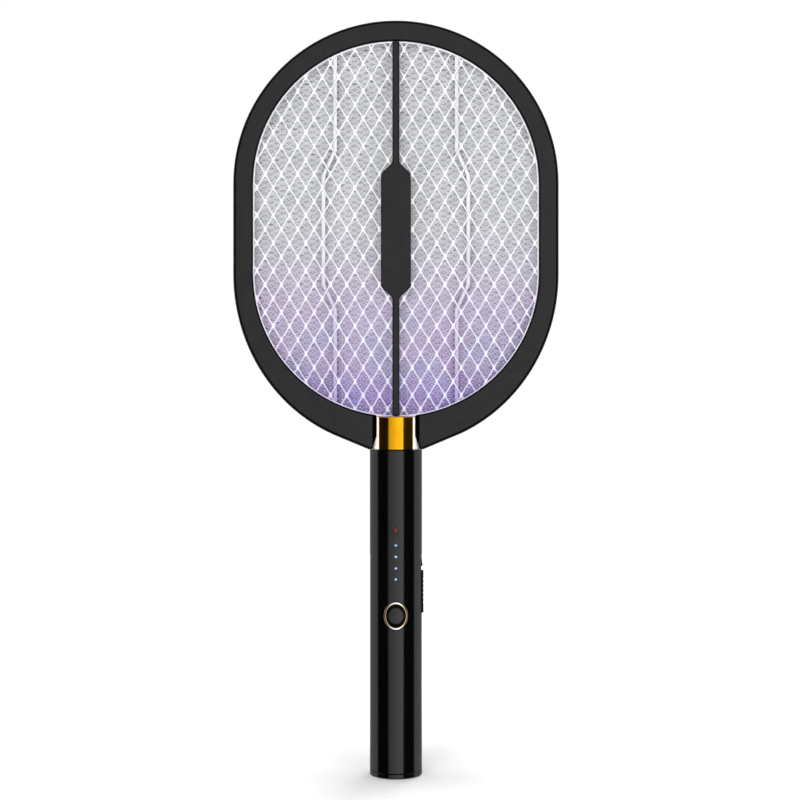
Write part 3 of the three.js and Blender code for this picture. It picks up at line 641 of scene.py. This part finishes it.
def border(name, outer, inner, y0, y1):
    """A flat ring on the net's seat, cut off above the collar."""
    edge = 0.15
    section = [
        (outer, y1), (outer, y0), (inner + edge, y0), (inner, y0 + edge),
        (inner, y1 - edge), (inner + edge, y1),
    ]
    loops = [[(x, y, z) for x, z in opening_outline(a)] for a, y in section]
    ring = lofted(name, loops, closed=True)
    return shaded(cut(ring, box((-17.6, 17.6), (-30, 30), (200, COLLAR_TOP + 0.3))))


def merged(name, *parts):
    """One object made of several, which are used up."""
    work = bmesh.new()
    for part in parts:
        work.from_mesh(part.data)
        bpy.data.objects.remove(part)
    mesh = bpy.data.meshes.new(name)
    work.to_mesh(mesh)
    work.free()
    obj = bpy.data.objects.new(name, mesh)
    bpy.context.scene.collection.objects.link(obj)
    return obj


def add_nets():
    middle = (NET_OUT + NET_IN) / 2
    for name, side, mat in (("front_net", -1, FRONT_NET), ("rear_net", 1, REAR_NET)):
        strands = lattice(f"{name}_strands", side * middle, 1.0, **NET_MESH)
        edge = border(f"{name}_border", 3.0, -0.7, side * middle - 0.6, side * middle + 0.6)
        piece(strands, name, "net_steel", mat)
        piece(edge, name, "net_steel", mat)
    strands = lattice("inner_grid_strands", 0, 0.9, **GRID_MESH)
    edge = border("inner_grid_border", 3.0, -0.3, -0.6, 0.6)
    piece(strands, "inner_grid", "net_steel", INNER_GRID)
    piece(edge, "inner_grid", "net_steel", INNER_GRID)


RIB = [(38.7, 200), (38.7, 297), (46.1, 313), (46.1, 382), (38.7, 398), (38.7, 480)]
RIB_HALF = 1.2


def add_spacers():
    for name, y0, y1 in (("front_spacer_frame", -6.2, -0.9), ("rear_spacer_frame", 0.9, 6.2)):
        for side, word in ((-1, "left"), (1, "right")):
            outer = [(side * (x + RIB_HALF), z) for x, z in RIB]
            inner = [(side * (x - RIB_HALF), z) for x, z in RIB[::-1]]
            rib = rounded(slab(outer + inner, y0, y1), 0.3)
            trim(rib, OPENING_R + 1.2)
            piece(shaded(rib), name, "spacer_white", SPACER).name = f"{name}_{word}_rib"
        ring = border(f"{name}_ring", 3.0, 0.8, y0, y1)
        piece(ring, name, "spacer_white", SPACER)


def add_bars():
    low, top = OPENING_LOW - OPENING_R + 0.3, OPENING_TOP + OPENING_R - 0.3
    narrow, wide = 2.25, 9.5
    right = [
        (narrow, low), (narrow, 304), (wide, 311.3), (wide, 382.7), (narrow, 390), (narrow, top),
    ]
    outline = right + [(-x, z) for x, z in right[::-1]]
    # Painted shade: the bars' rounded edges are painted black.
    mat = painted_edge_shade()
    for name, y0, y1 in (("front_centre_bar", -9.9, -8.0), ("rear_centre_bar", 8.0, 9.9)):
        bar = shaded(rounded(slab(outline, y0, y1), 0.9, 4))
        bar.name = name.replace("centre_bar", "bar")
        piece(bar, name, "charcoal_shell", mat)


def cross_recess(low, high):
    """The two bars of a screw head's cross, along Z."""
    long, thin = (-CROSS_HALF, CROSS_HALF), (-CROSS_WIDTH_HALF, CROSS_WIDTH_HALF)
    return box(long, thin, (low, high)), box(thin, long, (low, high))


def screw(name, node, x, z, tip, head_low, head_top, steps=32):
    """A pan-head screw along +Y with a cross recess."""
    edge = 0.35
    profile = [
        (AXIS_R, tip), (SHANK_R, tip + 0.8), (SHANK_R, head_low), (HEAD_R, head_low),
        (HEAD_R, head_top - edge), (HEAD_R - edge * 0.3, head_top - edge * 0.3),
        (HEAD_R - edge, head_top), (AXIS_R, head_top),
    ]
    body = lathe(name, profile, steps)
    cut(body, *cross_recess(head_top - 0.7, head_top + 1))
    body.data.transform(Matrix.Rotation(-math.pi / 2, 4, "X"))
    body.data.transform(Matrix.Translation((x * MM, 0, z * MM)))
    return piece(shaded(body), node, "steel")


def add_screws():
    for i, (x, z) in enumerate(SCREW_SPOTS, 1):
        screw(f"ring_screw_piece_{i}", f"ring_screw_{i}", x, z, -5, 8.1, 9.5)
    for i, z in enumerate(NECK_SCREWS, 1):
        screw(f"neck_screw_piece_{i}", f"neck_screw_{i}", 0, z, CHANNEL_R + 0.5, 15.15, 16.45)


# ---- Neck and handle ----
def add_collar():
    edge = 0.3
    profile = [
        (COLLAR_R, COLLAR_LOW + edge), (COLLAR_R - edge, COLLAR_LOW), (COLLAR_BORE_R, COLLAR_LOW),
        (COLLAR_BORE_R, COLLAR_TOP), (COLLAR_R - edge, COLLAR_TOP), (COLLAR_R, COLLAR_TOP - edge),
    ]
    collar = lathe("collar", profile)
    cut(collar, box((-20, 20), (-5.0, 5.0), (COLLAR_LOW + 1.6, COLLAR_TOP + 1)))
    shaded(collar, axis_radii=(COLLAR_R, COLLAR_BORE_R))
    piece(collar, "neck_collar", "gilt", collar_finish())


def add_tube():
    edge = 0.35
    bend = edge * 0.3
    profile = [
        (TUBE_R, TUBE_LOW + edge), (TUBE_R - bend, TUBE_LOW + bend), (TUBE_R - edge, TUBE_LOW),
        (BORE_R, TUBE_LOW), (BORE_R, TUBE_TOP), (TUBE_R - edge, TUBE_TOP),
        (TUBE_R - bend, TUBE_TOP - bend), (TUBE_R, TUBE_TOP - edge),
    ]
    tube = lathe("tube", profile, 192)
    cut(
        tube,
        slab(ellipse(*BUTTON_HOLE, BUTTON_Z), -20, 0),
        slab(ellipse(*POWER_HOLE, POWER_LIGHT, 48), -20, 0),
        box((0, 20), (-4.2, 4.2), (102.6, 138.2)),
        *[rod("y", LEVEL_HOLE_R, -20, 0, (0, z), 32) for z in LEVEL_LIGHTS],
        *[rod("y", HEAD_HOLE_R, 14.85, 20, (0, z), 48) for z in NECK_SCREWS],
        *[rod("y", SHANK_HOLE_R, 10, 20, (0, z), 32) for z in NECK_SCREWS],
    )
    piece(shaded(tube, axis_radii=(TUBE_R, BORE_R)), "handle_tube", "gloss_black", handle_finish())


def handle_finish():
    """Gloss black with painted light: a dark blue glow round each level light."""
    mat = finish("handle black", "020203", "030304", (0.09, 0.14), bump=0.004, shine=0.56)
    nodes, links, shader = tree_of(mat)
    base = source_of(shader, "Base Color")
    rough = source_of(shader, "Roughness")
    # Painted glow of the level lights: a dark blue halo fading outwards on the black.
    for z in LEVEL_LIGHTS:
        reach = away_from(nodes, links, (0, -TUBE_R * MM, z * MM))
        halo_glow = spread(nodes, links, reach, 0.001, 0.0024, 0.8, 0)
        base = blended(nodes, links, "MIX", halo_glow, base, paint("10263e"))
        rough = blended(nodes, links, "MIX", halo_glow, rough, (0.8, 0.8, 0.8, 1))
    links.new(base, shader.inputs["Base Color"])
    links.new(rough, shader.inputs["Roughness"])
    return mat


def racetrack(half_x, half_y, y, steps=16):
    reach = half_x - half_y
    turns = [math.pi * (k / steps - 0.5) for k in range(steps + 1)]
    right = [(reach + half_y * math.cos(t), y + half_y * math.sin(t)) for t in turns]
    return right + [(-x, 2 * y - v) for x, v in right]


def add_end_cap():
    """The cap, with a socket and one screw, and the plug that holds it in the tube."""
    plug_low, plug_top, plug_bore, screw_y = 3, 11, 12.3, -6
    profile = [
        (AXIS_R, 0), (15.85, 0), (16.25, 0.1), (16.55, 0.4), (TUBE_R, 0.8), (TUBE_R, 2.8),
        (16.45, plug_low), (STUB_R, plug_low), (STUB_R, plug_top), (plug_bore, plug_top),
        (plug_bore, plug_low), (AXIS_R, plug_low),
    ]
    cap = lathe("end_cap_piece", profile)
    cut(
        cap,
        column(racetrack(4.75, 1.9, 5), -1, 4),
        rod("z", SHANK_HOLE_R, -1, 4, (0, screw_y), 32),
        rod("z", HEAD_HOLE_R, -1, 1.9, (0, screw_y), 48),
    )
    piece(shaded(cap, axis_radii=(TUBE_R,)), "end_cap", "gloss_black")
    edge = 0.3
    profile = [
        (AXIS_R, 15.5), (SHANK_R, 14.7), (SHANK_R, 1.6), (HEAD_R, 1.6), (HEAD_R, 0.3 + edge),
        (HEAD_R - edge, 0.3), (AXIS_R, 0.3),
    ]
    body = lathe("end_cap_screw_piece", profile, 32)
    cut(body, *cross_recess(0, 1))
    body.data.transform(Matrix.Translation((0, screw_y * MM, 0)))
    piece(shaded(body), "end_cap_screw", "steel")


def add_button():
    """The oval domed cap inside its gilt ring."""
    apex, dip, bend_x, bend_z = -17.35, 1.1, 15.0, 16.0
    line = ellipse(BUTTON_X, BUTTON_H - 0.15, 0)
    loops = [[(x, back, BUTTON_Z + v) for x, v in line] for back in (-10.2, -15.2)]
    for share in (0.985, 0.95, 0.9, 0.8, 0.7, 0.6, 0.5, 0.4, 0.3, 0.2, 0.1, 0.02):
        dome = []
        for x, v in [(share * x, share * v) for x, v in line]:
            back = apex + x * x / 2 / bend_x + (v + dip) ** 2 / 2 / bend_z
            dome.append((x, back, BUTTON_Z + v))
        loops.append(dome)
    cap = lofted("button_cap_piece", loops)
    piece(shaded(cap, 40), "button_cap", "gloss_black", body="button")

    # The ring's section, as steps outwards from the ring's middle and up from the handle
    half, rise, foot = 0.62, 0.38, -4.5
    turns = [math.pi * k / 12 for k in range(13)]
    section = [(half * math.cos(t), rise * max(math.sin(t), 0) ** 0.45) for t in turns]
    loops = []
    for out, up in [*section, (-half, foot), (half, foot)]:
        line = ellipse(RING_X + out, RING_H + 1.2 * out, BUTTON_Z, 128)
        r = TUBE_R - 0.05 + up
        loops.append([(x, -math.sqrt(max(r**2 - x * x, 0)), z) for x, z in line])
    ring = shaded(lofted("button_ring", loops, closed=True), 40)
    piece(ring, "button_trim_ring", "gilt", ring_finish())


def ring_finish():
    """Champagne gilt, with a painted highlight: paler at the top and bottom of the ring."""
    mat = finish("trim ring", "e6b67a", "f4cc94", (0.1, 0.17), 1.0, bump=0.01)
    nodes, links, shader = tree_of(mat)
    reach = away_from(nodes, links, (0, -TUBE_R * MM, BUTTON_Z * MM))
    # Painted highlight: near-white at the ring's top and bottom.
    highlight_zone = spread(nodes, links, reach, 0.0072, 0.0078, 0, 1)
    base = source_of(shader, "Base Color")
    links.new(blended(nodes, links, "MIX", highlight_zone, base, paint("fffcf6")), shader.inputs["Base Color"])
    return mat


def domed(name, half_x, half_z, z, back, top, steps=48, taper=0.0):
    """A small oval light: a post from back, with a domed end that reaches top."""
    loops = [
        (1.0, back), (1.0, -TUBE_R + 0.3), (0.93, -TUBE_R + 0.1),
        (0.75, top + 0.05), (0.4, top + 0.01), (0.02, top),
    ]
    shapes = []
    for share, y in loops:
        line = ellipse(half_x * share, half_z * share, 0, steps)
        shapes.append([(x * (1 + taper * v / half_z), y, z + v) for x, v in line])
    return shaded(lofted(name, shapes), 50)


def add_lights():
    lens = domed("power_lens", 1.5, 1.95, POWER_LIGHT, -9.5, -TUBE_R - 0.05, taper=0.25)
    piece(lens, "power_light_lens", "red_lens")
    posts = [domed(f"post_{z}", 0.75, 0.6, z, -11.4, -TUBE_R - 0.02, 24) for z in LEVEL_LIGHTS]
    low, high = LEVEL_LIGHTS[0] - 2, LEVEL_LIGHTS[-1] + 2
    bar = rounded(box((-1.6, 1.6), (-12.4, -10.9), (low, high)), 0.3)
    guide = merged("level_lights", *posts, shaded(bar))
    piece(guide, "level_light_guide", "ice_lens")


TRACK_LOW, TRACK_TOP, PAD_LOW, PAD_TOP, PAD_HALF = 102.9, 137.9, 103.4, 130.3, 2.9
GRIP_GROOVES, GRIP_LOW, GRIP_PITCH, GRIP_GAP = 6, 109.4, 3, 0.8


def add_side_switch():
    """The sliding pad in its track, on the +X side."""
    track = box((13.6, 17), (-3.9, 3.9), (TRACK_LOW, TRACK_TOP))
    combine(track, "INTERSECT", rod("z", TUBE_R - 0.05, 95, 145, steps=192))
    ramp = [(15.5, 133.3), (17.3, 133.3), (16.6, 137.6), (15.5, 137.6)]
    combine(track, "UNION", slab(ramp, -PAD_HALF, PAD_HALF))
    well = box((14.8, 20), (-3.2, 3.2), (103.1, 133.0))
    cut(track, well, box((10, 20), (-1.2, 1.2), (113.7, 121.7)))
    rounded(track, 0.12, 2, 40)
    piece(shaded(track), "slider_track", "gloss_black", SWITCH_BLACK).name = "switch_track"

    pad = box((15.1, 20), (-PAD_HALF, PAD_HALF), (PAD_LOW, PAD_TOP))
    combine(pad, "INTERSECT", rod("z", TUBE_R + 1.15, 95, 145, steps=192))
    for i in range(GRIP_GROOVES):
        low = GRIP_LOW + GRIP_PITCH * i
        cut(pad, box((17.3, 20), (-4, 4), (low, low + GRIP_GAP)))
    combine(pad, "UNION", box((13.3, 16), (-0.9, 0.9), (114, 119)))
    rounded(pad, 0.15, 2, 40)
    piece(shaded(pad), "slider_pad", "gloss_black", SWITCH_BLACK, "slider").name = "switch_pad"


def finish_cad_nodes():
    """The inner pieces keep their CAD shapes and take the finish of their slot."""
    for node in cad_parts.values():
        slot = node.data.materials[0].name.split(".")[0]
        node.data.materials.clear()
        node.data.materials.append(FINISHES[slot])


# ---- Studio ----
# Degrees from the front, and how bright the surroundings are there
BANDS = (
    (0, 1.0), (32, 1.0), (37, 0.018), (86, 0.018), (90, 0.72),
    (104, 0.69), (120, 0.55), (140, 0.35), (160, 0.25),
)
LEAN = 0.8  # how much brighter the panel is towards the right
CAMERA_PLACE, LENS, SENSOR = (0.0026, -1.05, 0.2392), 73.8, 36


def studio_world():
    """Soft light by the angle from the front: a bright round panel, dark, then a bright band."""
    world = bpy.data.worlds.new("studio")
    bpy.context.scene.world = world
    world.use_nodes = True
    nodes, links = world.node_tree.nodes, world.node_tree.links
    nodes.clear()

    def math_node(operation, a, b=None):
        node = nodes.new("ShaderNodeMath")
        node.operation = operation
        for socket, value in zip(node.inputs, (a, b)):
            if isinstance(value, bpy.types.NodeSocket):
                links.new(value, socket)
            elif value is not None:
                socket.default_value = value
        return node.outputs[0]

    split = nodes.new("ShaderNodeSeparateXYZ")
    links.new(nodes.new("ShaderNodeTexCoord").outputs["Generated"], split.inputs[0])
    forward = math_node("MULTIPLY", split.outputs["Y"], -1)
    from_front = math_node("DIVIDE", math_node("ARCCOSINE", forward), math.pi)
    bands = ramp_of(nodes, [(turn / 180, (level, level, level, 1)) for turn, level in BANDS])
    links.new(from_front, bands.inputs["Fac"])
    to_right = math_node("MULTIPLY", split.outputs["X"], math_node("MAXIMUM", forward, 0))
    uneven = math_node("ADD", math_node("MULTIPLY", to_right, LEAN), 1)
    full = blended(nodes, links, "MULTIPLY", 1.0, bands.outputs["Color"], uneven)
    seen = nodes.new("ShaderNodeLightPath").outputs["Is Camera Ray"]
    light = blended(nodes, links, "MIX", seen, full, (1, 1, 1, 1))
    ground = nodes.new("ShaderNodeBackground")
    links.new(light, ground.inputs["Color"])
    out = nodes.new("ShaderNodeOutputWorld")
    links.new(ground.outputs[0], out.inputs[0])


def soft_lamp(name, place, target, size, power):
    """A square lamp that lights surfaces but is in no picture and no reflection."""
    data = bpy.data.lights.new(name, "AREA")
    data.size, data.energy = size, power
    lamp = bpy.data.objects.new(name, data)
    lamp.location = place
    lamp.rotation_euler = (Vector(target) - Vector(place)).to_track_quat("-Z", "Y").to_euler()
    lamp.visible_camera = lamp.visible_glossy = False
    bpy.context.scene.collection.objects.link(lamp)


def floor_finish():
    """Pale matt paper, whose own light grows outwards so that its rim melts into the background."""
    mat = finish("floor white", "f0f0f2", "f6f6f7", (0.8, 0.9), grain=60, bump=0.0, glow=0.3)
    nodes, links, shader = tree_of(mat)
    reach = away_from(nodes, links, (0, 0, 0))
    glow = spread(nodes, links, reach, 0.02, 0.3, 0.1, 0.9)
    links.new(glow, shader.inputs["Emission Strength"])
    return mat


def add_floor():
    """A pale disc under the handle; it is in no reflection, so the handle keeps its clean bands."""
    rings = [[(x, y, z) for x, y in circle(1500, 96)] for z in (-2.2, -0.2)]
    disc = lofted("floor", rings)
    disc.data.materials.append(floor_finish())
    disc.visible_glossy = False


def add_camera():
    data = bpy.data.cameras.new("camera")
    data.sensor_width, data.lens = SENSOR, LENS
    data.clip_start, data.clip_end = 0.05, 30
    camera = bpy.data.objects.new("camera", data)
    camera.location = CAMERA_PLACE
    camera.rotation_euler = (math.pi / 2, 0, 0)
    bpy.context.scene.collection.objects.link(camera)
    bpy.context.scene.camera = camera


finish_cad_nodes()
add_shells()
add_nets()
add_spacers()
add_bars()
add_screws()
add_collar()
add_tube()
add_end_cap()
add_button()
add_lights()
add_side_switch()

studio_world()
soft_lamp("key", (-0.6, -1.7, 0.95), (0, 0, 0.3), 0.9, 16)
soft_lamp("fill", (0.9, -1.5, 0.5), (0, 0, 0.3), 0.9, 7)
soft_lamp("back", (0.7, 1.6, 0.9), (0, 0, 0.3), 0.9, 16)
soft_lamp("top", (0, -0.1, 2.1), (0, 0, 0), 1.2, 14)
add_floor()
add_camera()
bpy.context.scene.view_settings.view_transform = "Standard"
